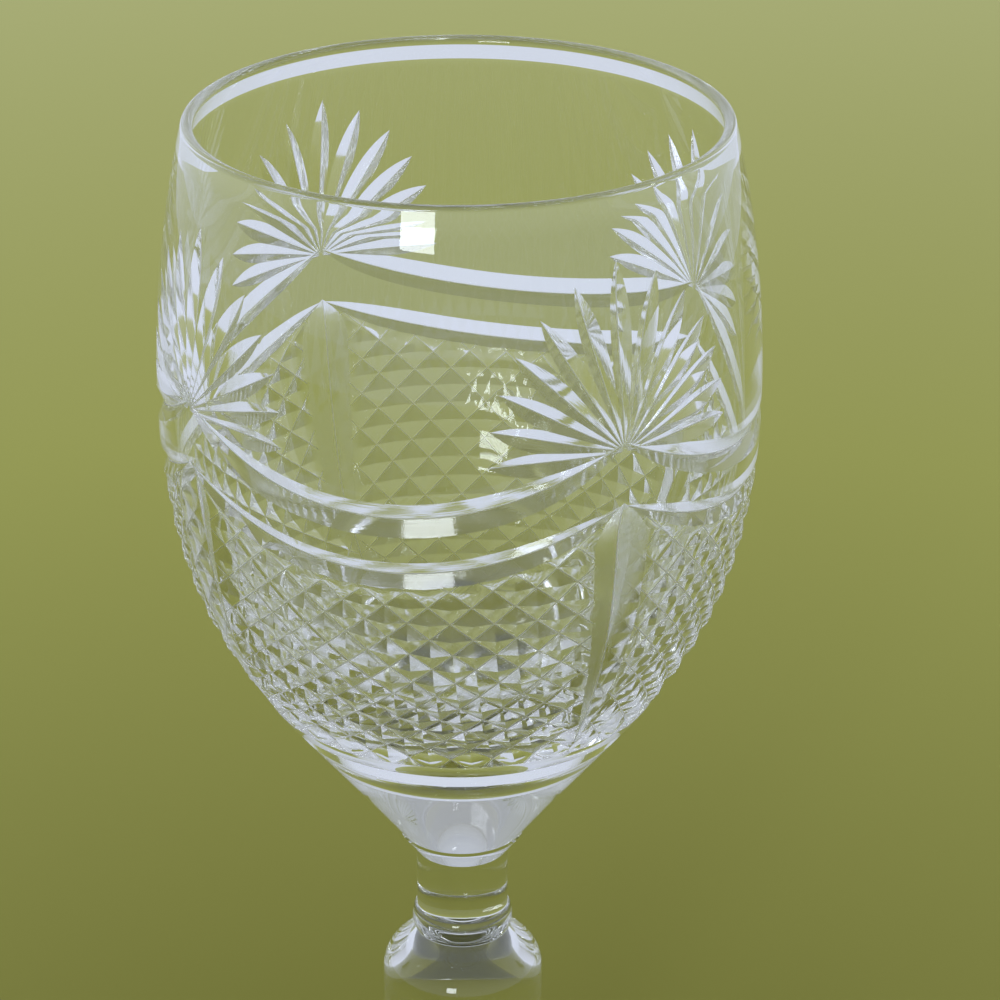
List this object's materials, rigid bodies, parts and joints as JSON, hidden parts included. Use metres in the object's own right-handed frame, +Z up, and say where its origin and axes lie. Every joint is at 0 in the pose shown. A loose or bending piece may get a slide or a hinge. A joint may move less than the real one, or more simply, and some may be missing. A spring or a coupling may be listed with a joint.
{
  "type": "wine goblet",
  "caption": "Cut-glass wine goblet: a footed drinking glass with a wheel-cut bowl on a short neck, collar and baluster stem, standing on a round foot.",
  "frame": {"origin": "middle of the foot's underside, on the surface that the goblet stands on", "axes": "+Z is up along the goblet's own axis; X and Y are equal, as the solids are round"},
  "size_m": [0.0672, 0.0672, 0.152],
  "materials": {
    "clear_glass": "polished"
  },
  "bodies": {
    "root": {"foot": "clear_glass", "stem": "clear_glass", "collar": "clear_glass", "neck": "clear_glass", "bowl": "clear_glass"}
  },
  "joints": []
}
